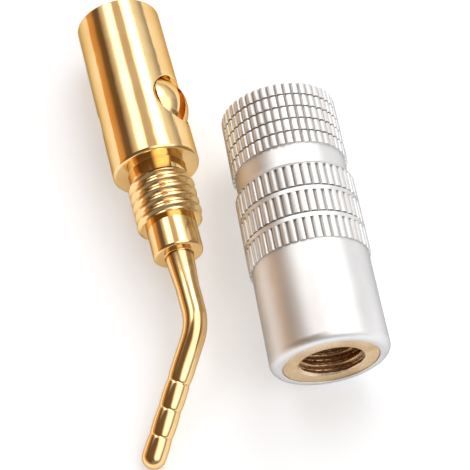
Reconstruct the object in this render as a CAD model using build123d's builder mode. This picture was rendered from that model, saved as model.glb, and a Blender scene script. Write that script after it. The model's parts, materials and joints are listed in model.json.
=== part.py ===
from build123d import *
from math import asin, cos, degrees, radians, sin, tan
import os

# A bent-pin speaker plug, unscrewed: its gold-plated body and its knurled silver shell lie
# side by side. Lengths are in millimetres, +Z is up and the surface they lie on is Z = 0.

# Gold body: wire barrel, threaded neck, collar and contact pin, turned from one bar
barrel_diameter = 8.0
barrel_length = 17.0
barrel_edge_chamfer = 0.2
shoulder_edge_chamfer = 0.25
wire_bore_diameter = 4.0
wire_bore_depth = 13.6
wire_bore_chamfer = 0.3
neck_diameter = 5.3
neck_length = 1.2
thread_diameter = 6.0
thread_length = 4.6
thread_end_chamfer = 0.3
collar_diameter = 4.5
collar_length = 3.1
collar_edge_chamfer = 0.2

# Contact pin: it tapers from the collar, bends, and carries shallow ratchet rings
pin_diameter = 2.1
pin_root_diameter = 2.6
pin_taper_length = 3.2
pin_corner_distance = 6.9
bend_angle = 37.5
bend_radius = 4.2
bent_length = 11.75
ring_count = 3
first_ring_distance = 5.15
ring_rise = 1.03
ring_fall = 1.37
ring_depth = 0.07

# Clamp screws: two slotted screws with domed ends, facing each other across the barrel
screw_diameter = 5.0
screw_clearance = 0.03
screw_distance = 5.95
screw_length = 1.9
screw_dome_height = 0.8
upper_screw_end = 4.5
lower_screw_end = 3.9
screw_point_chamfer = 0.3
slot_width = 0.9
slot_depth = 0.8

# Silver shell: a tube with a chequered head, a plain waist and ribbed bands
shell_length = 24.5
shell_bore_clearance = 0.35
head_diameter = 10.36
head_length = 6.1
head_row_count = 5
head_row_groove = 0.16
head_row_depth = 0.24
head_rib_depth = 0.22
waist_diameter = 9.86
waist_length = 2.3
waist_flare = 0.3
band_diameter = 10.6
band_length = 2.0
band_gap = 0.55
band_count = 3
band_groove = 0.14
band_groove_depth = 0.28
band_rib_depth = 0.25
rib_count = 45
rib_groove_angle = 60
front_diameter = 10.2
front_edge_chamfer = 0.45
front_edge_break = 0.15

# Brass insert: the threaded bush that is pressed into the front of the shell
insert_length = 5.0
insert_seat_diameter = 8.2
insert_seat_end_gap = 0.25
insert_clearance = 0.02
insert_recess = 0.05
insert_mouth_chamfer = 0.12
insert_thread_depth = 0.4

# Where the shell lies: beside the body, its rear end a little behind the body's shoulder
shell_side = 11.93
shell_behind = 1.36
shell_yaw = 4.65

barrel_radius = barrel_diameter / 2
wire_bore_radius = wire_bore_diameter / 2
neck_radius = neck_diameter / 2
thread_radius = thread_diameter / 2
collar_radius = collar_diameter / 2
pin_radius = pin_diameter / 2
pin_root_radius = pin_root_diameter / 2
screw_hole_radius = screw_diameter / 2
screw_radius = screw_hole_radius - screw_clearance
shell_bore_radius = barrel_radius + shell_bore_clearance
head_radius = head_diameter / 2
waist_radius = waist_diameter / 2
band_radius = band_diameter / 2
front_radius = front_diameter / 2
insert_seat_radius = insert_seat_diameter / 2
insert_radius = insert_seat_radius - insert_clearance
insert_bore_radius = thread_radius - insert_thread_depth

thread_end = neck_length + thread_length
collar_end = thread_end + collar_length
pin_corner = collar_end + pin_corner_distance
bend_tangent = bend_radius * tan(radians(bend_angle) / 2)
bands_start = head_length + waist_length
band_pitch = band_length + band_gap
bands_end = bands_start + band_count * band_pitch - band_gap
insert_front = shell_length - insert_recess
insert_rear = insert_front - insert_length
seat_rear = insert_rear - insert_seat_end_gap

# The body rests on its barrel and on the tip of its pin, which sets how far it has rolled
tip_forward = pin_corner + bent_length * cos(radians(bend_angle))
tip_sideways = bent_length * sin(radians(bend_angle))
body_roll = asin((barrel_radius - pin_radius) / tip_sideways)

# The origin is on the surface, under the middle of the two pieces
reach_left = tip_sideways * cos(body_roll) + pin_radius
reach_right = shell_side + head_radius * cos(radians(shell_yaw))
reach_front = tip_forward + pin_radius
body_x = (reach_left - reach_right) / 2
shoulder_y = (reach_front - barrel_length) / 2

# On these planes X runs forward along a piece's axis. On the body's, Y points the way the pin bends
body_plane = Plane(
    origin=(body_x, shoulder_y, barrel_radius),
    x_dir=(0, -1, 0),
    z_dir=(sin(body_roll), 0, -cos(body_roll)),
)
tip_plane = Plane(body_plane.location * Location((pin_corner, 0, 0), (0, 0, bend_angle)))
shell_plane = Plane(
    origin=(body_x + shell_side, shoulder_y + shell_behind, band_radius),
    x_dir=(-sin(radians(shell_yaw)), -cos(radians(shell_yaw)), 0),
    z_dir=(0, 0, 1),
)

# Each screw's plane lies across the barrel's axis, its Z pointing out of its hole
screw_centre = body_plane.from_local_coords((-screw_distance, 0, 0))
upper_screw_plane = Plane(origin=screw_centre, x_dir=body_plane.x_dir, z_dir=-body_plane.y_dir)
lower_screw_plane = Plane(origin=screw_centre, x_dir=body_plane.x_dir, z_dir=body_plane.y_dir)


def along(plane):
    """The axis that runs forward through a plane's origin."""
    return Axis(plane.origin, plane.x_dir)


def across(plane, distance):
    """A cross-section of a piece, this far along its axis."""
    return Plane(
        origin=plane.from_local_coords((distance, 0, 0)),
        x_dir=plane.y_dir,
        z_dir=plane.x_dir,
    )


with BuildPart() as plug_body:
    # Turned barrel, neck, threaded length and collar
    with BuildSketch(body_plane) as turned_profile:
        with BuildLine():
            Polyline(
                (-barrel_length, 0),
                (-barrel_length, barrel_radius),
                (0, barrel_radius),
                (0, neck_radius),
                (neck_length, neck_radius),
                (neck_length, thread_radius),
                (thread_end, thread_radius),
                (thread_end, collar_radius),
                (collar_end, collar_radius),
                (collar_end, 0),
                close=True,
            )
        make_face()
        corners = turned_profile.vertices()
        chamfer(corners.sort_by_distance((-barrel_length, barrel_radius))[0], barrel_edge_chamfer)
        chamfer(corners.sort_by_distance((0, barrel_radius))[0], shoulder_edge_chamfer)
        chamfer(
            [
                corners.sort_by_distance((neck_length, thread_radius))[0],
                corners.sort_by_distance((thread_end, thread_radius))[0],
            ],
            thread_end_chamfer,
        )
        chamfer(corners.sort_by_distance((collar_end, collar_radius))[0], collar_edge_chamfer)
    revolve(axis=along(body_plane))

    # Straight start of the pin, from its thick root to the bend
    with BuildSketch(body_plane):
        with BuildLine():
            Polyline(
                (collar_end - collar_edge_chamfer, 0),
                (collar_end - collar_edge_chamfer, pin_root_radius),
                (collar_end, pin_root_radius),
                (collar_end + pin_taper_length, pin_radius),
                (pin_corner - bend_tangent, pin_radius),
                (pin_corner - bend_tangent, 0),
                close=True,
            )
        make_face()
    revolve(axis=along(body_plane))

    # Bend
    with BuildSketch(across(body_plane, pin_corner - bend_tangent)):
        Circle(pin_radius)
    revolve(
        axis=Axis(
            body_plane.from_local_coords((pin_corner - bend_tangent, bend_radius, 0)),
            body_plane.z_dir,
        ),
        revolution_arc=bend_angle,
    )

    # Bent length with its ratchet rings and round tip
    with BuildSketch(tip_plane):
        with BuildLine():
            ring_points = []
            for ring in range(ring_count):
                ring_start = first_ring_distance + ring * (ring_rise + ring_fall)
                ring_points.append((ring_start - ring_fall, pin_radius))
                ring_points.append((ring_start, pin_radius - ring_depth))
            last_crest = (ring_start + ring_rise, pin_radius)
            flank = Polyline(
                (bend_tangent, 0),
                (bend_tangent, pin_radius),
                *ring_points,
                last_crest,
                (bent_length, pin_radius),
            )
            RadiusArc(flank @ 1, (bent_length + pin_radius, 0), pin_radius)
            Line((bent_length + pin_radius, 0), flank @ 0)
        make_face()
    revolve(axis=along(tip_plane))

    # Wire bore, open at the rear, with the drill's cone at its end
    with BuildSketch(body_plane):
        with BuildLine():
            Polyline(
                (-barrel_length, 0),
                (-barrel_length, wire_bore_radius + wire_bore_chamfer),
                (wire_bore_chamfer - barrel_length, wire_bore_radius),
                (wire_bore_depth - barrel_length, wire_bore_radius),
                (wire_bore_depth - barrel_length + wire_bore_radius / tan(radians(59)), 0),
                close=True,
            )
        make_face()
    revolve(axis=along(body_plane), mode=Mode.SUBTRACT)

    # Two facing screw holes
    for screw_plane in (upper_screw_plane, lower_screw_plane):
        with BuildSketch(screw_plane):
            Circle(screw_hole_radius)
        extrude(amount=barrel_diameter, mode=Mode.SUBTRACT)


def slotted_screw(plane, outer_end):
    """A headless clamp screw along a plane's Z axis, domed and slotted at its outer end."""
    inner_end = outer_end - screw_length
    with BuildSketch(Plane(origin=plane.origin, x_dir=plane.x_dir, z_dir=-plane.y_dir)) as half:
        with BuildLine():
            side = Polyline(
                (0, outer_end),
                (0, inner_end),
                (screw_radius - screw_point_chamfer, inner_end),
                (screw_radius, inner_end + screw_point_chamfer),
                (screw_radius, outer_end - screw_dome_height),
            )
            dome_radius = (screw_radius**2 + screw_dome_height**2) / (2 * screw_dome_height)
            RadiusArc(side @ 1, side @ 0, -dome_radius)
        make_face()
    revolve(half.sketch, axis=Axis(plane.origin, plane.z_dir))
    with BuildSketch(plane.offset(outer_end - slot_depth)) as slot:
        Rectangle(3 * screw_radius, slot_width)
    extrude(slot.sketch, amount=2 * slot_depth, mode=Mode.SUBTRACT)


with BuildPart() as clamp_screw_upper:
    slotted_screw(upper_screw_plane, upper_screw_end)

with BuildPart() as clamp_screw_lower:
    slotted_screw(lower_screw_plane, lower_screw_end)


def ribbed_length(start, length, rib_depth, crest_radius):
    """Adds a length of the shell with straight ribs and V grooves between them, all the way round."""
    root_radius = crest_radius - rib_depth
    rib_angle = 360 / rib_count
    groove_angle = 2 * degrees(rib_depth * tan(radians(rib_groove_angle / 2)) / crest_radius)
    with BuildSketch(across(shell_plane, start)) as ribs:
        with BuildLine():
            rib_points = []
            for rib in range(rib_count):
                rib_start = rib * rib_angle
                rib_points.append(Vector(root_radius, 0).rotate(Axis.Z, rib_start))
                rib_points.append(Vector(crest_radius, 0).rotate(Axis.Z, rib_start + groove_angle / 2))
                rib_points.append(
                    Vector(crest_radius, 0).rotate(Axis.Z, rib_start + rib_angle - groove_angle / 2)
                )
            Polyline(*rib_points, close=True)
        make_face()
        Circle(shell_bore_radius, mode=Mode.SUBTRACT)
    extrude(ribs.sketch, amount=length)


with BuildPart() as shell:
    # Turned tube, with its thin waist and the flats between the ribbed bands
    with BuildSketch(shell_plane) as tube_profile:
        with BuildLine():
            Polyline(
                (head_length, shell_bore_radius),
                (head_length, waist_radius),
                (bands_start - waist_flare, waist_radius),
                (bands_start, band_radius - band_rib_depth),
                (bands_start, shell_bore_radius),
                close=True,
            )
        make_face()
        for band in range(1, band_count):
            with Locations((bands_start + band * band_pitch - band_gap, shell_bore_radius)):
                Rectangle(
                    band_groove,
                    band_radius - band_groove_depth - shell_bore_radius,
                    align=(Align.MIN, Align.MIN),
                )
            with Locations((bands_start + band * band_pitch, shell_bore_radius)):
                Rectangle(
                    band_gap - band_groove,
                    band_radius - shell_bore_radius,
                    align=(Align.MAX, Align.MIN),
                )
    revolve(axis=along(shell_plane))

    # Plain front, rounded at the mouth and counterbored for the insert
    with BuildSketch(shell_plane) as front_profile:
        with BuildLine():
            Polyline(
                (bands_end, shell_bore_radius),
                (bands_end, front_radius),
                (shell_length, front_radius),
                (shell_length, insert_seat_radius),
                (seat_rear, insert_seat_radius),
                (seat_rear, shell_bore_radius),
                close=True,
            )
        make_face()
        mouth_corner = (shell_length, front_radius)
        chamfer(front_profile.vertices().sort_by_distance(mouth_corner)[0], front_edge_chamfer)
        chamfer(front_profile.vertices().sort_by_distance(mouth_corner)[:2], front_edge_break)
    revolve(axis=along(shell_plane))

    # Knurling: bands of straight ribs, those of the head crossed by rings into rows of tiles
    ribbed_length(0, head_length, head_rib_depth, head_radius)
    for band in range(band_count):
        ribbed_length(bands_start + band * band_pitch, band_length, band_rib_depth, band_radius)
    with BuildSketch(shell_plane):
        row_pitch = (head_length + head_row_groove) / head_row_count
        for row in range(1, head_row_count):
            with Locations((row * row_pitch - head_row_groove, head_radius)):
                Rectangle(head_row_groove, 2 * head_row_depth, align=(Align.MIN, Align.CENTER))
    revolve(axis=along(shell_plane), mode=Mode.SUBTRACT)

with BuildPart() as threaded_insert:
    with BuildSketch(shell_plane):
        with BuildLine():
            Polyline(
                (insert_rear, insert_bore_radius),
                (insert_rear, insert_radius),
                (insert_front, insert_radius),
                (insert_front, insert_bore_radius + insert_mouth_chamfer),
                (insert_front - insert_mouth_chamfer, insert_bore_radius),
                close=True,
            )
        make_face()
    revolve(axis=along(shell_plane))

plug_body.part.label = "plug_body"
clamp_screw_upper.part.label = "clamp_screw_upper"
clamp_screw_lower.part.label = "clamp_screw_lower"
shell.part.label = "shell"
threaded_insert.part.label = "threaded_insert"

os.makedirs("parts", exist_ok=True)
export_step(plug_body.part, "parts/plug_body.step")
export_step(clamp_screw_upper.part, "parts/clamp_screw_upper.step")
export_step(clamp_screw_lower.part, "parts/clamp_screw_lower.step")
export_step(shell.part, "parts/shell.step")
export_step(threaded_insert.part, "parts/threaded_insert.step")
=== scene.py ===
import bpy
import bmesh
import json
from math import acos, asin, cos, floor, pi, radians, sin, tan
from mathutils import Matrix, Vector

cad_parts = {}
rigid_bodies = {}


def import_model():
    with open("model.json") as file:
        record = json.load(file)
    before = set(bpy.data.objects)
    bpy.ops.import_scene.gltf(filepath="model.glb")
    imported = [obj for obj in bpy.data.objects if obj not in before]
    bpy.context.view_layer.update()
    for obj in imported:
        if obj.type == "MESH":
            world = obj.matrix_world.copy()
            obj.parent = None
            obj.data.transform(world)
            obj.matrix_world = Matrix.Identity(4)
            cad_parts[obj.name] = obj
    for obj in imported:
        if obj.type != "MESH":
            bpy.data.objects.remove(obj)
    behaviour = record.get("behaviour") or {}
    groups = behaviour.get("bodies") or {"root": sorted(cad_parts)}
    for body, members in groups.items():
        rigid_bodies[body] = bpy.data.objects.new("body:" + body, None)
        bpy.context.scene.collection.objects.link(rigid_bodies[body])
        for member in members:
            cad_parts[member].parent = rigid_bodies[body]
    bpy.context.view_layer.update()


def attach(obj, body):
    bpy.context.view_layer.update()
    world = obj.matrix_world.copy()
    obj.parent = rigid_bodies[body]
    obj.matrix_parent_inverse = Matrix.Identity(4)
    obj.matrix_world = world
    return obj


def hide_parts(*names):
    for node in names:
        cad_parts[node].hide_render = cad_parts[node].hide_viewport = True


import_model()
mm = 0.001

# where the two halves of the plug lie on the table, in mm and degrees
layout = {
    "bodyAt": (-4.7633, 4.586, 4.0),      # middle of the barrel's front shoulder
    "bodyRoll": 24.357,                   # how far the bent pin leans down, so that its tip touches the table
    "shellAt": (7.1667, 5.946, 5.3),      # middle of the shell's rear end
    "shellYaw": 4.65,
}

# each half is made along its own x axis, from the rear to the front, and laid down by its frame
roll = radians(layout["bodyRoll"])
yaw = radians(layout["shellYaw"])
bodyFrame = Matrix((
    (0, -cos(roll), sin(roll), layout["bodyAt"][0]),
    (-1, 0, 0, layout["bodyAt"][1]),
    (0, -sin(roll), -cos(roll), layout["bodyAt"][2]),
    (0, 0, 0, 1)))
shellFrame = Matrix((
    (-sin(yaw), cos(yaw), 0, layout["shellAt"][0]),
    (-cos(yaw), -sin(yaw), 0, layout["shellAt"][1]),
    (0, 0, 1, layout["shellAt"][2]),
    (0, 0, 0, 1)))


# verts are in mm; edges that turn by more than sharpAngle stay sharp, and with 0 none does
def addPiece(name, verts, faces, place, sharpAngle):
    mesh = bpy.data.meshes.new(name)
    mesh.from_pydata([place @ Vector(v) * mm for v in verts], [], faces)
    bm = bmesh.new()
    bm.from_mesh(mesh)
    bmesh.ops.recalc_face_normals(bm, faces=bm.faces)
    bm.to_mesh(mesh)
    bm.free()
    mesh.shade_smooth()
    if sharpAngle:
        mesh.set_sharp_from_angle(angle=radians(sharpAngle))
    piece = bpy.data.objects.new(name, mesh)
    bpy.context.scene.collection.objects.link(piece)
    return piece


# how deep each point lies in a groove or bore, 0 to 1, which the material turns into painted shade
def notePaintedShade(piece, depths):
    paintedShadeLayer = piece.data.attributes.new("paintedShadeDepth", "FLOAT", "POINT")
    paintedShadeLayer.data.foreach_set("value", depths)


# angles of the columns round a turned piece
def anglesOf(columns):
    return [2 * pi * j / columns for j in range(columns)]


# rings of equal length become a skin, closed by a point at each end or onto itself
def joinRings(rings, poleAtStart=None, poleAtEnd=None, loop=False):
    verts = []
    faces = []
    columns = len(rings[0])
    for ring in rings:
        verts.extend(ring)
    for i in range(len(rings) - 1 + loop):
        low = i * columns
        high = ((i + 1) % len(rings)) * columns
        for j in range(columns):
            k = (j + 1) % columns
            faces.append((low + j, low + k, high + k, high + j))
    for pole, low in ((poleAtStart, 0), (poleAtEnd, (len(rings) - 1) * columns)):
        if pole is not None:
            verts.append(pole)
            for j in range(columns):
                faces.append((len(verts) - 1, low + j, low + (j + 1) % columns))
    return verts, faces


# points of a small arc that takes the place of a profile's corner
def roundedCorner(corner, before, after, radius, steps):
    c = Vector(corner)
    a = (Vector(before) - c).normalized()
    b = (Vector(after) - c).normalized()
    half = acos(max(-1, min(1, a.dot(b)))) / 2
    reach = radius / tan(half)
    middle = c + (a + b).normalized() * (radius / sin(half))
    start = c + a * reach - middle
    end = c + b * reach - middle
    sweep = start.angle(end)
    points = []
    for i in range(steps + 1):
        t = i / steps
        v = (start * sin((1 - t) * sweep) + end * sin(t * sweep)) / sin(sweep)
        points.append(tuple(middle + v))
    return points


# the profile with every corner rounded by its own radius, 0 keeps it as it is
def softProfile(points, radii, steps):
    out = []
    for i, point in enumerate(points):
        if radii[i] > 0:
            after = points[(i + 1) % len(points)]
            out.extend(roundedCorner(point, points[i - 1], after, radii[i], steps))
        else:
            out.append(point)
    return out


# the form of both threads, in shares of half a pitch: flat root, then flank, which is straight at
# straightness 1 and rounded below it, then crest
threadForm = {"root": 0.16, "flank": 0.66, "straightness": 0.55}


# radius of a helical thread at a distance and an angle, by the sizes of the piece that carries it
def threadSurface(piece, x, angle):
    turns = (x - piece["threadPhase"]) / piece["threadPitch"] - angle / (2 * pi)
    fromRoot = abs(2 * (turns - floor(turns)) - 1)
    rise = min(1, max(0, (fromRoot - threadForm["root"]) / threadForm["flank"]))
    straight = threadForm["straightness"]
    height = straight * rise + (1 - straight) * rise * rise * (3 - 2 * rise)
    return piece["threadRadius"] - piece["threadDepth"] * (1 - height)


# gold body: barrel, neck, screw thread, collar and pin, one turned piece that was bent afterwards.
# distances run from the barrel's front shoulder, those on the bent length from the bend's corner
plug = {
    "barrelRadius": 4.0, "barrelLength": 17.0, "rearEdge": 0.16, "shoulderEdge": 0.3,
    "boreRadius": 2.0, "boreDepth": 13.6, "boreEdge": 0.3, "boreEdgeSoft": 0.05, "boreEndSoft": 0.03,
    "drillPoint": 118,
    "neckRadius": 2.65, "neckLength": 1.2, "neckRoot": 0.04,
    "threadRadius": 3.0, "threadDepth": 0.32, "threadPitch": 0.92, "threadPhase": 0.86,
    "threadEnd": 5.8, "threadStep": 0.03, "threadRunIn": 0.4, "threadLip": 0.45, "runOutSlope": 1.3,
    "collarRadius": 2.25, "collarEnd": 8.9, "collarEdge": 0.25,
    "pinRootRadius": 1.3, "pinRoot": 0.1, "pinRadius": 1.05, "taperEnd": 12.1, "taperSoft": 1.2,
    "cornerAt": 15.8, "bend": 37.5, "bendRadius": 4.2, "bendSteps": 16, "legLength": 11.75,
    "rings": 3, "firstRing": 5.15, "ringPitch": 2.4, "ringDepth": 0.065, "ringSteps": 12,
    "ringLine": 0.035, "ringLineWidth": 0.1, "tipSteps": 12,
    "screwAt": 5.95, "screwHoleRadius": 2.5,
    "columns": 180, "barrelSteps": 6, "collarSteps": 7, "sharpAngle": 34,
}
bend = radians(plug["bend"])
bendStart = plug["cornerAt"] - plug["bendRadius"] * tan(bend / 2)
bendEnd = bendStart + plug["bendRadius"] * bend


# a point of the body by its distance along the bent middle line, radius and angle round it
def placeOnBody(along, radius, angle):
    r = plug["bendRadius"]
    turned = min(max((along - bendStart) / r, 0), bend)
    straight = min(along, bendStart)
    leg = max(0, along - bendEnd)
    x = straight + r * sin(turned) + leg * cos(turned)
    y = r * (1 - cos(turned)) + leg * sin(turned)
    out = radius * cos(angle)
    return (x - out * sin(turned), y + out * cos(turned), radius * sin(angle))


# distance along the middle line of a point on the bent length
def onLeg(fromCorner):
    return bendEnd + fromCorner - (plug["cornerAt"] - bendStart)


# stations give the distance along the body and the radius there, from the bore's end to the neck
def barrelStations():
    p = plug
    rear = -p["barrelLength"]
    points = [
        (rear + p["boreDepth"], p["boreRadius"]), (rear + p["boreEdge"], p["boreRadius"]),
        (rear, p["boreRadius"] + p["boreEdge"]), (rear, p["barrelRadius"]), (0, p["barrelRadius"]),
        (0, p["neckRadius"]), (p["neckLength"], p["neckRadius"])]
    radii = [
        p["boreEndSoft"], p["boreEdgeSoft"], p["boreEdgeSoft"], p["rearEdge"], p["shoulderEdge"],
        p["neckRoot"], 0]
    return softProfile(points, radii, p["barrelSteps"])[:-1]


# collar, tapering pin and bend
def pinStations():
    p = plug
    points = [
        (p["threadEnd"], p["collarRadius"]), (p["collarEnd"], p["collarRadius"]),
        (p["collarEnd"], p["pinRootRadius"]), (p["taperEnd"], p["pinRadius"]), (bendEnd, p["pinRadius"])]
    radii = [0, p["collarEdge"], p["pinRoot"], p["taperSoft"], 0]
    stations = softProfile(points, radii, p["collarSteps"])[:-1]
    for i in range(p["bendSteps"] + 1):
        stations.append((bendStart + (bendEnd - bendStart) * i / p["bendSteps"], p["pinRadius"]))
    return stations


# the bent length swells a little between its fine rings and ends in a round tip
def legStations():
    p = plug
    middle = p["ringSteps"] // 2
    low = p["pinRadius"] - p["ringDepth"]
    stations = []
    for ring in range(p["rings"] + 1):
        swellFrom = p["firstRing"] + (ring - 1) * p["ringPitch"]
        first = middle if ring == 0 else 1
        last = middle if ring == p["rings"] else p["ringSteps"] - 1
        for i in range(first, last + 1):
            dip = p["ringDepth"] * (i / middle - 1) ** 2
            stations.append((onLeg(swellFrom + p["ringPitch"] * i / p["ringSteps"]), p["pinRadius"] - dip))
        if ring < p["rings"]:
            line = swellFrom + p["ringPitch"]
            half = p["ringLineWidth"] / 2
            stations += [
                (onLeg(line - half), low), (onLeg(line), low - p["ringLine"]), (onLeg(line + half), low)]
    for i in range(p["tipSteps"]):
        t = pi / 2 * i / p["tipSteps"]
        stations.append((onLeg(p["legLength"] + p["pinRadius"] * sin(t)), p["pinRadius"] * cos(t)))
    return stations


# the thread rises out of the neck and runs out at the collar
def threadRadiusAt(x, angle):
    p = plug
    runIn = min(1, (x - p["neckLength"]) / p["threadRunIn"])
    radius = p["neckRadius"] + (threadSurface(p, x, angle) - p["neckRadius"]) * runIn
    return min(radius, p["collarRadius"] + p["threadLip"] + (p["threadEnd"] - x) * p["runOutSlope"])


def buildPlugBody():
    p = plug
    angles = anglesOf(p["columns"])
    threadLength = p["threadEnd"] - p["neckLength"]
    count = int(threadLength / p["threadStep"])
    rings = [[placeOnBody(x, r, a) for a in angles] for x, r in barrelStations()]
    for i in range(count + 1):
        x = p["neckLength"] + threadLength * i / count
        rings.append([placeOnBody(x, threadRadiusAt(x, a), a) for a in angles])
    rings += [[placeOnBody(x, r, a) for a in angles] for x, r in pinStations() + legStations()]
    drillTip = p["boreDepth"] - p["barrelLength"] + p["boreRadius"] / tan(radians(p["drillPoint"] / 2))
    pinTip = placeOnBody(onLeg(p["legLength"] + p["pinRadius"]), 0, 0)
    verts, faces = joinRings(rings, (drillTip, 0, 0), pinTip)
    return addPiece("plugBody", verts, faces, bodyFrame, p["sharpAngle"])


plugBody = buildPlugBody()
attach(plugBody, "root")
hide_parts("plug_body")
print("plug body:", len(plugBody.data.polygons), "faces")


# silver shell: one turned tube, ribbed in three bands and at its head, where rings cut the ribs into tiles.
# distances run from its rear end, those of the flare back from the first band
sleeve = {
    "length": 24.5, "boreRadius": 4.35, "boreEdge": 0.12, "rearStep": 0.02,
    "seatRadius": 4.1, "seatFrom": 19.2,
    "headRadius": 5.18, "headLength": 6.1, "headRib": 0.22, "rows": 5, "rowGroove": 0.16, "rowDepth": 0.24,
    "waistRadius": 4.93, "waistLength": 2.3,
    "waistEnd": 0.8, "flareFrom": 0.42, "flareTo": 0.06, "flareStep": 0.03, "flareSteps": 6,
    "bandRadius": 5.3, "bandLength": 2.0, "bandRib": 0.25, "bands": 3, "bandGap": 0.55,
    "bandGroove": 0.14, "bandGrooveDepth": 0.28, "bandLead": (0.03, 0.01), "ribStart": 0.012,
    "frontRadius": 5.1, "frontEdge": 0.7, "mouthEdge": 0.03, "frontSteps": 8,
    "ribs": 45, "grooveAngle": 60, "ribCrown": 0.2, "crownSteps": 6,
    "softEdge": 0.035, "softShape": (0.35, 0.3), "sharpAngle": 30,
}


# angles across one rib, each with its depth: 1 in the groove, up to ribCrown on top
def ribColumns():
    s = sleeve
    half = s["bandRib"] * tan(radians(s["grooveAngle"] / 2)) / s["bandRadius"]
    step = 2 * pi / s["ribs"]
    columns = [(0, 1)]
    for i in range(s["crownSteps"] + 1):
        u = 2 * i / s["crownSteps"] - 1
        columns.append((half + (step - 2 * half) * (u + 1) / 2, s["ribCrown"] * u * u))
    return columns


# rows that take the edge off one end of a ribbed length, ahead is 1 at its front end and -1 at its rear
def softEnd(at, radius, ribDepth, ahead):
    soft = sleeve["softEdge"]
    along, inward = sleeve["softShape"]
    rows = [
        (at - ahead * soft, radius, ribDepth, radius),
        (at - ahead * soft * along, radius - soft * inward, ribDepth, radius),
        (at, radius - soft, ribDepth, radius)]
    return rows[::ahead]


# the head's rows of tiles with the ring grooves between them
def headRows():
    s = sleeve
    grooveFloor = s["headRadius"] - s["rowDepth"]
    pitch = (s["headLength"] + s["rowGroove"]) / s["rows"]
    rows = []
    for row in range(s["rows"]):
        start = row * pitch
        end = start + pitch - s["rowGroove"]
        if row > 0:
            rows.append((start, grooveFloor, 0, s["headRadius"]))
        rows += softEnd(start, s["headRadius"], s["headRib"], -1)
        rows += softEnd(end, s["headRadius"], s["headRib"], 1)
        if row < s["rows"] - 1:
            rows.append((end, grooveFloor, 0, s["headRadius"]))
    return rows + [(end, s["waistRadius"], 0, 0)]


# the waist flares out to the first band
def flareRows(bandsAt):
    s = sleeve
    rows = [(bandsAt - s["waistEnd"], s["waistRadius"], 0, 0)]
    height = s["bandRadius"] - s["waistRadius"] - s["flareStep"]
    for i in range(s["flareSteps"] + 1):
        t = i / s["flareSteps"]
        x = bandsAt - s["flareFrom"] + (s["flareFrom"] - s["flareTo"]) * t
        rows.append((x, s["waistRadius"] + height * (3 * t * t - 2 * t ** 3), 0, 0))
    return rows


# the ribbed bands, each but the last followed by a groove and a plain ring
def bandRows(bandsAt):
    s = sleeve
    radius = s["bandRadius"]
    soft = s["softEdge"]
    lead, drop = s["bandLead"]
    rows = []
    for band in range(s["bands"]):
        start = bandsAt + band * (s["bandLength"] + s["bandGap"])
        end = start + s["bandLength"]
        rows += [
            (start - lead, radius - drop, 0, 0), (start, radius, 0, 0),
            (start + s["ribStart"], radius, s["bandRib"], radius)]
        rows += softEnd(end, radius, s["bandRib"], 1)
        if band < s["bands"] - 1:
            grooveFloor = radius - s["bandGrooveDepth"]
            ringStart = end + s["bandGroove"]
            rows += [
                (end, grooveFloor, 0, radius), (ringStart, grooveFloor, 0, radius),
                (ringStart, radius - soft, 0, 0), (ringStart + soft, radius, 0, 0)]
    return rows


# all rows from the bore over the outside to the insert's seat: distance, radius, depth of the ribs,
# and the radius that grooves are measured from, 0 where there are none
def shellRows():
    s = sleeve
    bandsAt = s["headLength"] + s["waistLength"]
    bandsEnd = bandsAt + (s["bands"] - 1) * (s["bandLength"] + s["bandGap"]) + s["bandLength"]
    inside = [
        (s["seatFrom"], s["boreRadius"]), (s["boreEdge"], s["boreRadius"]),
        (0, s["boreRadius"] + s["boreEdge"]), (0, s["headRadius"] - s["headRib"] - s["rearStep"])]
    front = [(bandsEnd, s["frontRadius"]), (s["length"], s["frontRadius"]), (s["length"], s["seatRadius"])]
    front = softProfile(front, [0, s["frontEdge"], s["mouthEdge"]], s["frontSteps"])
    front.append((s["seatFrom"], s["seatRadius"]))
    return (
        [(x, r, 0, 0) for x, r in inside] + headRows() + flareRows(bandsAt) + bandRows(bandsAt)
        + [(x, r, 0, 0) for x, r in front])


def buildShell():
    s = sleeve
    step = 2 * pi / s["ribs"]
    columns = [(rib * step + angle, depth) for rib in range(s["ribs"]) for angle, depth in ribColumns()]
    rings = []
    paintedShadeDepth = []
    for x, r, ribDepth, crest in shellRows():
        ring = []
        for angle, depth in columns:
            radius = min(r, crest - ribDepth * depth) if ribDepth else r
            ring.append((x, radius * cos(angle), radius * sin(angle)))
            # painted shade: the deeper a point lies below the crest, the darker its colour
            paintedShadeDepth.append(min(1, max(0, (crest - radius) / s["headRib"])))
        rings.append(ring)
    verts, faces = joinRings(rings, loop=True)
    piece = addPiece("knurledShell", verts, faces, shellFrame, s["sharpAngle"])
    notePaintedShade(piece, paintedShadeDepth)
    return piece


knurledShell = buildShell()
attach(knurledShell, "root")
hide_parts("shell")
print("shell:", len(knurledShell.data.polygons), "faces")


# brass insert: the threaded bush in the shell's mouth, whose bore is painted darker and browner as painted
# shade, fully so from a short way inside the mouth
bush = {
    "front": 24.45, "length": 5.0, "radius": 4.08, "frontEdge": 0.06, "rearEdge": 0.15, "rearOpening": 0.3,
    "mouthEdge": 0.22, "mouthSlope": 1.2,
    "threadRadius": 3.02, "threadDepth": 0.4, "threadPitch": 0.92, "threadPhase": 0.3,
    "threadStep": 0.04, "threadMargin": 0.03,
    "columns": 144, "edgeSteps": 4, "sharpAngle": 34, "paintedShadeFrom": 0.7,
}


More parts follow.
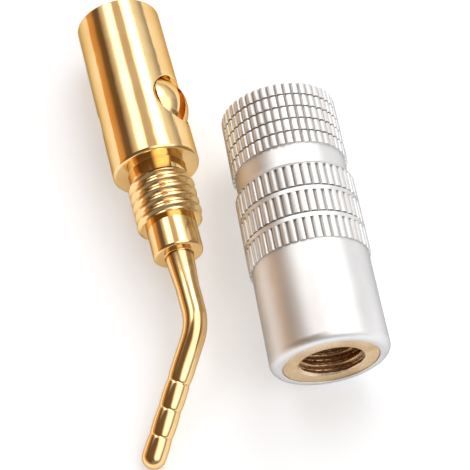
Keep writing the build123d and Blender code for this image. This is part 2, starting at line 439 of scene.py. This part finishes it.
def buildInsert():
    b = bush
    rear = b["front"] - b["length"]
    root = b["threadRadius"] - b["threadDepth"]
    mouth = root + b["mouthEdge"]
    angles = anglesOf(b["columns"])
    outside = [
        (rear, root + b["rearOpening"]), (rear, b["radius"]), (b["front"], b["radius"]), (b["front"], mouth)]
    rings = []
    boreDepth = []
    for x, r in softProfile(outside, [0, b["rearEdge"], b["frontEdge"], 0], b["edgeSteps"]):
        rings.append([(x, r * cos(a), r * sin(a)) for a in angles])
        boreDepth += [0] * b["columns"]
    count = int(b["length"] / b["threadStep"])
    for i in range(count + 1):
        x = b["front"] - b["threadMargin"] - (b["length"] - 2 * b["threadMargin"]) * i / count
        opening = mouth - min(b["front"] - x, x - rear) * b["mouthSlope"]
        radii = [max(threadSurface(b, x, a), opening) for a in angles]
        rings.append([(x, r * cos(a), r * sin(a)) for r, a in zip(radii, angles)])
        # painted shade: the thread's colour darkens with its distance from the mouth, up to full shade
        boreDepth += [min(1, (b["front"] - x) / b["paintedShadeFrom"])] * b["columns"]
    verts, faces = joinRings(rings, loop=True)
    piece = addPiece("brassInsert", verts, faces, shellFrame, b["sharpAngle"])
    notePaintedShade(piece, boreDepth)
    return piece


brassInsert = buildInsert()
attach(brassInsert, "root")
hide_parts("threaded_insert")
print("insert:", len(brassInsert.data.polygons), "faces")


# clamp screws: short, headless, domed and slotted. upperEnd and lowerEnd count from the barrel's axis
clamp = {
    "radius": 2.44, "length": 1.9, "dome": 1.15, "domeSteps": 22, "pointEdge": 0.25, "pointShare": 0.4,
    "slotWidth": 0.95, "slotDepth": 1.0, "cutterHalfLength": 4, "cutterAbove": 1,
    "edge": 0.07, "edgeSegments": 3, "edgeFrom": 30, "sharpAngle": 35, "columns": 96,
    "upperEnd": 4.5, "lowerEnd": 3.9, "upperTurn": 90, "lowerTurn": 90,
    "rim": 0.12, "rimSteps": 7, "rimClear": 0.3, "holeCutterEnd": 5.5,
}


# z points out of the hole, and without a turn x runs forward along the barrel
def screwFrame(side, turn):
    out = Vector((0, side, 0))
    ahead = Vector((1, 0, 0))
    across = out.cross(ahead)
    local = Matrix((
        (ahead.x, across.x, out.x, -plug["screwAt"]), (ahead.y, across.y, out.y, 0),
        (ahead.z, across.z, out.z, 0), (0, 0, 0, 1)))
    return bodyFrame @ local @ Matrix.Rotation(radians(turn), 4, "Z")


# takes the cutter's space out of the piece for good
def cut(piece, cutter):
    change = piece.modifiers.new("cut", "BOOLEAN")
    change.operation = "DIFFERENCE"
    change.solver = "EXACT"
    change.object = cutter
    bpy.context.view_layer.update()
    mesh = bpy.data.meshes.new_from_object(piece.evaluated_get(bpy.context.evaluated_depsgraph_get()))
    piece.modifiers.clear()
    piece.data = mesh
    bpy.data.objects.remove(cutter)


# the block that cuts a screw's slot
def slotCutter(name, outerEnd, place):
    half, far = clamp["slotWidth"] / 2, clamp["cutterHalfLength"]
    low, high = outerEnd - clamp["slotDepth"], outerEnd + clamp["cutterAbove"]
    outline = ((-half, -far), (half, -far), (half, far), (-half, far))
    corners = [(x, y, z) for z in (low, high) for x, y in outline]
    sides = [(0, 1, 2, 3), (4, 5, 6, 7), (0, 1, 5, 4), (1, 2, 6, 5), (2, 3, 7, 6), (3, 0, 4, 7)]
    return addPiece(name, corners, sides, place, 0)


def buildScrew(name, side, outerEnd, turn):
    c = clamp
    inner = outerEnd - c["length"]
    sphere = (c["radius"] ** 2 + c["dome"] ** 2) / (2 * c["dome"])
    widest = asin(c["radius"] / sphere)
    profile = [
        (c["radius"] * c["pointShare"], inner), (c["radius"] - c["pointEdge"], inner),
        (c["radius"], inner + c["pointEdge"])]
    for i in range(c["domeSteps"]):
        t = widest * (1 - i / c["domeSteps"])
        profile.append((sphere * sin(t), outerEnd - sphere + sphere * cos(t)))
    rings = [[(r * cos(a), r * sin(a), z) for a in anglesOf(c["columns"])] for r, z in profile]
    verts, faces = joinRings(rings, (0, 0, inner), (0, 0, outerEnd))
    place = screwFrame(side, turn)
    screw = addPiece(name, verts, faces, place, 0)
    cut(screw, slotCutter(name + "Slot", outerEnd, place))
    soft = screw.modifiers.new("soft edges", "BEVEL")
    soft.width = c["edge"] * mm
    soft.segments = c["edgeSegments"]
    soft.limit_method = "ANGLE"
    soft.angle_limit = radians(c["edgeFrom"])
    soft.harden_normals = False
    screw.data.shade_smooth()
    screw.data.set_sharp_from_angle(angle=radians(c["sharpAngle"]))
    return screw


# the cross hole that both screws sit in: its cutter opens out at the barrel's skin, which rounds the rims
def holeCutter():
    soft = clamp["rim"]
    arc = []
    for i in range(clamp["rimSteps"] + 1):
        t = pi / 2 * i / clamp["rimSteps"]
        arc.append((soft * sin(t) - soft, soft - soft * cos(t)))
    arc.append((clamp["rimClear"], soft + clamp["rimClear"]))
    lower = [(-1, rise, spread) for rise, spread in reversed(arc)]
    upper = [(1, rise, spread) for rise, spread in arc]
    rings = []
    for side, rise, spread in lower + upper:
        ring = []
        for angle in anglesOf(clamp["columns"]):
            r = plug["screwHoleRadius"] + spread
            skin = cos(asin(r * sin(angle) / plug["barrelRadius"])) * plug["barrelRadius"]
            ring.append((r * cos(angle), r * sin(angle), side * (skin + rise)))
        rings.append(ring)
    end = clamp["holeCutterEnd"]
    verts, faces = joinRings(rings, (0, 0, -end), (0, 0, end))
    return addPiece("screwHole", verts, faces, screwFrame(1, 0), 0)


cut(plugBody, holeCutter())
plugBody.data.set_sharp_from_angle(angle=radians(plug["sharpAngle"]))
print("screw holes cut")

upperScrew = buildScrew("clampScrewUpper", -1, clamp["upperEnd"], clamp["upperTurn"])
lowerScrew = buildScrew("clampScrewLower", 1, clamp["lowerEnd"], clamp["lowerTurn"])
for screw, node in ((upperScrew, "clamp_screw_upper"), (lowerScrew, "clamp_screw_lower")):
    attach(screw, "root")
    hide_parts(node)
print("screws done")


# a shader node with its settings; inputs go by socket name, each a value or the socket that feeds it
def addNode(tree, kind, inputs=None, **settings):
    node = tree.nodes.new(kind)
    for name, value in settings.items():
        setattr(node, name, value)
    for name, value in (inputs or {}).items():
        if isinstance(value, bpy.types.NodeSocket):
            tree.links.new(value, node.inputs[name])
        else:
            node.inputs[name].default_value = value
    return node


# the three metals: colours, an edge tint that paints shade into grazing reflections, polish, how far grooves
# and bores get painted shade, and size and depth in mm of marks and waves
finish = {
    "gold": {
        "colour": (0.97, 0.71, 0.36), "worn": (0.92, 0.63, 0.29), "edge": (0.50, 0.37, 0.22),
        "rough": 0.11, "roughSpread": 0.06, "markDepth": 0.006, "markSize": 0.35, "stretch": 9.0,
        "grooveShade": 0.0, "paintedShadeColour": (0.30, 0.17, 0.06), "waveSize": 1.6, "waveDepth": 0.03},
    "silver": {
        "colour": (0.93, 0.925, 0.92), "worn": (0.87, 0.865, 0.86), "edge": (0.12, 0.12, 0.12),
        "rough": 0.46, "roughSpread": 0.08, "markDepth": 0.004, "markSize": 0.09, "stretch": 1.0,
        "grooveShade": 0.55, "paintedShadeColour": (0.22, 0.19, 0.16), "waveSize": 2.5, "waveDepth": 0.06},
    "brass": {
        "colour": (0.86, 0.71, 0.51), "worn": (0.63, 0.46, 0.30), "edge": (0.60, 0.45, 0.30),
        "rough": 0.30, "roughSpread": 0.16, "markDepth": 0.02, "markSize": 0.22, "stretch": 1.0,
        "grooveShade": 0.7, "paintedShadeColour": (0.52, 0.26, 0.10), "waveSize": 1.2, "waveDepth": 0.03},
}
# what the metals share: the clouds between worn and fresh colour, and how much of each noise is used
surface = {
    "cloudScale": 260.0, "cloudRange": (0.35, 0.65), "markRange": (0.3, 0.7),
    "cloudDetail": 3.0, "markDetail": 3.0, "waveDetail": 1.0, "bumpStrength": 0.5,
}


def addNoise(tree, vector, scale, detail):
    pattern = addNode(tree, "ShaderNodeTexNoise", {"Vector": vector, "Scale": scale, "Detail": detail})
    return pattern.outputs["Fac"]


# plated or turned metal: fine marks along the piece's own axis in polish and surface, soft clouds in colour,
# and painted shade in grooves and bores by how deep they lie
def metal(name, look, place):
    material = bpy.data.materials.new(name)
    material.use_nodes = True
    tree = material.node_tree
    shader = tree.nodes["Principled BSDF"]
    shader.inputs["Metallic"].default_value = 1.0
    # painted shade: the dark edge tint darkens each metal's reflections at grazing edges
    shader.inputs["Specular Tint"].default_value = (*look["edge"], 1)

    spot = addNode(tree, "ShaderNodeTexCoord")
    onPiece = addNode(tree, "ShaderNodeMapping", {
        "Vector": spot.outputs["Object"], "Location": place.translation * mm,
        "Rotation": place.to_euler()}, vector_type="TEXTURE").outputs["Vector"]
    fine = 1000 / look["markSize"]
    stretched = addNode(tree, "ShaderNodeMapping", {
        "Vector": onPiece, "Scale": (fine / look["stretch"], fine, fine)})
    marks = addNoise(tree, stretched.outputs["Vector"], 1.0, surface["markDetail"])
    clouds = addNoise(tree, onPiece, surface["cloudScale"], surface["cloudDetail"])
    waves = addNoise(tree, onPiece, 1000 / look["waveSize"], surface["waveDetail"])

    low, high = surface["cloudRange"]
    freshShare = addNode(tree, "ShaderNodeMapRange", {"Value": clouds, "From Min": low, "From Max": high})
    tint = addNode(tree, "ShaderNodeMix", data_type="RGBA", inputs={
        "Factor": freshShare.outputs["Result"], "A": (*look["worn"], 1), "B": (*look["colour"], 1)})
    # painted shade: grooves and bores take the shade colour by how deep they lie
    depth = addNode(tree, "ShaderNodeAttribute", attribute_name="paintedShadeDepth")
    shade = addNode(tree, "ShaderNodeMath", {
        0: depth.outputs["Fac"], 1: look["grooveShade"]}, operation="MULTIPLY")
    darker = addNode(tree, "ShaderNodeMix", data_type="RGBA", inputs={
        "Factor": shade.outputs["Value"], "A": tint.outputs["Result"], "B": (*look["paintedShadeColour"], 1)})
    tree.links.new(darker.outputs["Result"], shader.inputs["Base Color"])

    low, high = surface["markRange"]
    polish = addNode(tree, "ShaderNodeMapRange", {
        "Value": marks, "From Min": low, "From Max": high,
        "To Min": look["rough"] - look["roughSpread"] / 2, "To Max": look["rough"] + look["roughSpread"] / 2})
    tree.links.new(polish.outputs["Result"], shader.inputs["Roughness"])

    swell = addNode(tree, "ShaderNodeBump", {
        "Height": waves, "Strength": surface["bumpStrength"], "Distance": look["waveDepth"] * mm})
    scratch = addNode(tree, "ShaderNodeBump", {
        "Height": marks, "Strength": surface["bumpStrength"], "Distance": look["markDepth"] * mm,
        "Normal": swell.outputs["Normal"]})
    tree.links.new(scratch.outputs["Normal"], shader.inputs["Normal"])
    return material


goldPlate = metal("goldPlate", finish["gold"], bodyFrame)
silverSatin = metal("silverSatin", finish["silver"], shellFrame)
turnedBrass = metal("turnedBrass", finish["brass"], shellFrame)
for piece, material in ((plugBody, goldPlate), (upperScrew, goldPlate), (lowerScrew, goldPlate),
                        (knurledShell, silverSatin), (brassInsert, turnedBrass)):
    piece.data.materials.clear()
    piece.data.materials.append(material)
print("materials done")


# the white table and a small product studio: long soft boxes above and to the right, a dark flag on the left.
# each stop gives the angle from straight up, + to the left, the strength there and how warm it is
studio = {
    "tableHalf": 6000.0, "tableDrop": 0.02, "tableColour": (0.76, 0.78, 0.81),
    "tableRough": 0.9, "tableGlow": 0.36,
    "lightsBehind": [
        (-90, 0.35, 0), (-80, 0.52, 0), (-68, 0.85, 0), (-54, 1.05, 0), (-45, 3.5, 0), (-29, 3.5, 0),
        (-19, 0.66, 0.4), (1, 0.62, 0.4), (7, 2.5, 0), (22, 2.5, 0), (30, 0.85, 0.1), (40, 0.5, 0.5),
        (47, 0.14, 0.8), (62, 0.18, 1), (71, 0.6, 1.15), (86, 0.8, 1.2)],
    "lightsInFront": [
        (-90, 0.3, 0), (-80, 0.4, 0), (-68, 0.7, 0), (-58, 1.7, 0), (-20, 2.0, 0), (-6, 1.0, 0.2),
        (4, 0.18, 0.8), (64, 0.14, 1), (76, 0.55, 1.15), (86, 0.8, 1.2)],
    "brightest": 3.5, "flagColour": (1.0, 0.60, 0.32), "frontUpTo": 0.2, "behindFrom": 0.36,
    "ends": (0.28, 0.75), "frontEnd": (-0.94, -0.62), "backEnd": (0.72, 0.95),
    "cameraAt": (0.457, -61.634, 112.8), "cameraTilt": 27.96, "cameraRoll": -16.11,
    "lens": 107.23, "sensor": 36, "clipStart": 5.0,
}


# the table shows white to the camera and in the metal, and takes the shadow in its own colour
def buildTable():
    half = studio["tableHalf"] * mm
    corners = [(-half, -half, 0), (half, -half, 0), (half, half, 0), (-half, half, 0)]
    mesh = bpy.data.meshes.new("table")
    mesh.from_pydata(corners, [], [(0, 1, 2, 3)])
    piece = bpy.data.objects.new("table", mesh)
    piece.location.z = -studio["tableDrop"] * mm
    bpy.context.scene.collection.objects.link(piece)
    white = bpy.data.materials.new("tableWhite")
    white.use_nodes = True
    tree = white.node_tree
    shader = tree.nodes["Principled BSDF"]
    shader.inputs["Base Color"].default_value = (*studio["tableColour"], 1)
    shader.inputs["Roughness"].default_value = studio["tableRough"]
    shader.inputs["Specular IOR Level"].default_value = 0.0
    shader.inputs["Emission Color"].default_value = (1, 1, 1, 1)
    ray = addNode(tree, "ShaderNodeLightPath")
    seen = ray.outputs["Is Camera Ray"]
    for kind in ("Is Glossy Ray", "Is Transmission Ray"):
        either = addNode(tree, "ShaderNodeMath", {0: seen, 1: ray.outputs[kind]}, operation="MAXIMUM")
        seen = either.outputs["Value"]
    glow = addNode(tree, "ShaderNodeMath", {0: seen, 1: studio["tableGlow"]}, operation="MULTIPLY")
    tree.links.new(glow.outputs["Value"], shader.inputs["Emission Strength"])
    mesh.materials.append(white)
    return piece


table = buildTable()

world = bpy.data.worlds.new("studio")
bpy.context.scene.world = world
world.use_nodes = True
sky = world.node_tree
direction = addNode(sky, "ShaderNodeTexCoord")
towards = addNode(sky, "ShaderNodeSeparateXYZ", {"Vector": direction.outputs["Generated"]})
leftward = addNode(sky, "ShaderNodeMath", {0: towards.outputs["X"], 1: -1}, operation="MULTIPLY")
lean = addNode(sky, "ShaderNodeMath", {
    0: leftward.outputs["Value"], 1: towards.outputs["Z"]}, operation="ARCTAN2")


# goes from the first colour to the second one as the direction turns from low to high, along y
def blendAlongY(low, high, first, second):
    share = addNode(sky, "ShaderNodeMapRange", {
        "Value": towards.outputs["Y"], "From Min": low, "From Max": high}, interpolation_type="SMOOTHSTEP")
    blend = addNode(sky, "ShaderNodeMix", data_type="RGBA", inputs={
        "Factor": share.outputs["Result"], "A": first, "B": second})
    return blend.outputs["Result"]


# strengths are divided by the brightest one, because a colour ramp's stops end at 1
def greyLight(strength):
    grey = strength / studio["brightest"]
    return (grey, grey, grey, 1)


def softBoxes(lights):
    turn = addNode(sky, "ShaderNodeMapRange", {
        "Value": lean.outputs["Value"], "From Min": -pi / 2, "From Max": pi / 2})
    boxes = addNode(sky, "ShaderNodeValToRGB", {"Fac": turn.outputs["Result"]})
    stops = boxes.color_ramp.elements
    while len(stops) < len(lights):
        stops.new(0.5)
    for stop, (angle, strength, warm) in zip(stops, lights):
        stop.position = (angle + 90) / 180
        grey = strength / studio["brightest"]
        stop.color = [grey * (1 + (c - 1) * warm) for c in studio["flagColour"]] + [1]
    return boxes.outputs["Color"]


room = blendAlongY(studio["frontUpTo"], studio["behindFrom"],
                   softBoxes(studio["lightsInFront"]), softBoxes(studio["lightsBehind"]))
room = blendAlongY(*studio["frontEnd"], greyLight(studio["ends"][0]), room)
room = blendAlongY(*studio["backEnd"], room, greyLight(studio["ends"][1]))
background = sky.nodes["Background"]
background.inputs["Strength"].default_value = studio["brightest"]
sky.links.new(room, background.inputs["Color"])

camera = bpy.data.cameras.new("camera")
camera.sensor_width = studio["sensor"]
camera.lens = studio["lens"]
camera.clip_start = studio["clipStart"] * mm
cameraObject = bpy.data.objects.new("camera", camera)
cameraObject.matrix_world = (
    Matrix.Translation(Vector(studio["cameraAt"]) * mm)
    @ Matrix.Rotation(radians(studio["cameraTilt"]), 4, "X")
    @ Matrix.Rotation(radians(studio["cameraRoll"]), 4, "Z"))
bpy.context.scene.collection.objects.link(cameraObject)
bpy.context.scene.camera = cameraObject
bpy.context.scene.view_settings.view_transform = "Standard"

print("stage and camera done")
